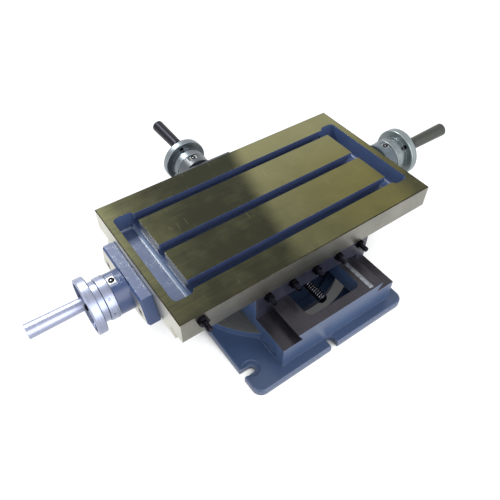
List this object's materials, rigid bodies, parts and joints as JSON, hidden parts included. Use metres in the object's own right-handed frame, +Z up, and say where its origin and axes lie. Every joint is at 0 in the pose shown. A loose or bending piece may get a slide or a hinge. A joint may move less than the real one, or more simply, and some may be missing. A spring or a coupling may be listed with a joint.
{
  "type": "cross slide table",
  "caption": "Two-axis cross slide table: T-slotted table on a dovetail saddle and base, moved by lead screws with graduated dials and crank handwheels.",
  "frame": {"origin": "centre of the base underside, straight below the crossing of the two lead screws", "axes": "+X along the table to the picture's right, +Y along the base ways to the rear handwheel, +Z up out of the table face"},
  "size_m": [0.7658, 0.5514, 0.141],
  "materials": {
    "blue_paint": "semi-gloss machine enamel on cast iron",
    "ground_iron": "surface-ground cast iron, lightly oiled",
    "ground_steel": "ground steel strip",
    "bronze": "turned bronze",
    "black_steel": "black-oxide steel",
    "turned_aluminium": "fine-turned aluminium",
    "polished_steel": "polished steel"
  },
  "bodies": {
    "base": {"base": "blue_paint", "y_scale": "ground_steel", "y_scale_rivets": "polished_steel", "rear_bracket": "blue_paint", "rear_bracket_screws": "black_steel", "rear_bush": "bronze", "rear_oiler": "polished_steel", "rear_thrust_washers": "bronze"},
    "saddle": {"saddle": "blue_paint", "x_gib": "ground_steel", "x_gib_screws": "black_steel", "x_gib_nuts": "black_steel", "y_gib": "ground_steel", "y_gib_screws": "black_steel", "y_gib_nuts": "black_steel", "x_nut": "bronze", "x_nut_screws": "black_steel", "y_nut": "bronze", "y_nut_screws": "black_steel"},
    "table": {"table": "ground_iron", "stop_stud": "black_steel", "stop_nut": "black_steel", "left_bracket": "blue_paint", "left_bracket_screws": "black_steel", "left_bush": "bronze", "left_oiler": "polished_steel", "left_thrust_washers": "bronze", "right_bracket": "blue_paint", "right_bracket_screws": "black_steel", "right_bush": "bronze", "right_oiler": "polished_steel", "right_thrust_washers": "bronze"},
    "x_screw": {"x_leadscrew": "black_steel", "left_handwheel": "turned_aluminium", "left_set_screws": "black_steel", "left_end_screw": "black_steel", "left_handle_bolt": "polished_steel", "right_handwheel": "turned_aluminium", "right_set_screws": "black_steel", "right_end_screw": "black_steel", "right_handle_bolt": "polished_steel"},
    "y_screw": {"y_leadscrew": "black_steel", "rear_handwheel": "turned_aluminium", "rear_set_screws": "black_steel", "rear_end_screw": "black_steel", "rear_handle_bolt": "polished_steel"},
    "left_dial": {"left_dial": "turned_aluminium"},
    "left_handle": {"left_handle": "polished_steel"},
    "right_dial": {"right_dial": "turned_aluminium"},
    "right_handle": {"right_handle": "polished_steel"},
    "rear_dial": {"rear_dial": "turned_aluminium"},
    "rear_handle": {"rear_handle": "polished_steel"}
  },
  "joints": [
    {"name": "saddle_slide", "type": "slide", "parent": "base", "child": "saddle", "axis": [0, 1, 0], "range_m": [-0.075, 0.06]},
    {"name": "table_slide", "type": "slide", "parent": "saddle", "child": "table", "axis": [1, 0, 0], "range_m": [-0.11, 0.11]},
    {"name": "x_screw_turn", "type": "hinge", "parent": "table", "child": "x_screw", "pos_m": [0, 0, 0.0985], "axis": [1, 0, 0], "range_deg": [-9905, 9905]},
    {"name": "y_screw_turn", "type": "hinge", "parent": "base", "child": "y_screw", "pos_m": [0, 0, 0.046], "axis": [0, 1, 0], "range_deg": [-5405, 6755]},
    {"name": "left_dial_turn", "type": "hinge", "parent": "x_screw", "child": "left_dial", "pos_m": [-0.273, 0, 0.0985], "axis": [1, 0, 0], "continuous": true},
    {"name": "right_dial_turn", "type": "hinge", "parent": "x_screw", "child": "right_dial", "pos_m": [0.273, 0, 0.0985], "axis": [1, 0, 0], "continuous": true},
    {"name": "rear_dial_turn", "type": "hinge", "parent": "y_screw", "child": "rear_dial", "pos_m": [0, 0.2365, 0.046], "axis": [0, 1, 0], "continuous": true},
    {"name": "left_handle_spin", "type": "hinge", "parent": "x_screw", "child": "left_handle", "pos_m": [-0.342, 0.02487, 0.07836], "axis": [1, 0, 0], "continuous": true},
    {"name": "right_handle_spin", "type": "hinge", "parent": "x_screw", "child": "right_handle", "pos_m": [0.342, -0.0197, 0.12372], "axis": [1, 0, 0], "continuous": true},
    {"name": "rear_handle_spin", "type": "hinge", "parent": "y_screw", "child": "rear_handle", "pos_m": [-0.00665, 0.305, 0.0773], "axis": [0, 1, 0], "continuous": true}
  ],
  "couplings": [
    {"joint": "x_screw_turn", "follows": "table_slide", "rad_per_m": 1570.8},
    {"joint": "y_screw_turn", "follows": "saddle_slide", "rad_per_m": -1570.8}
  ]
}
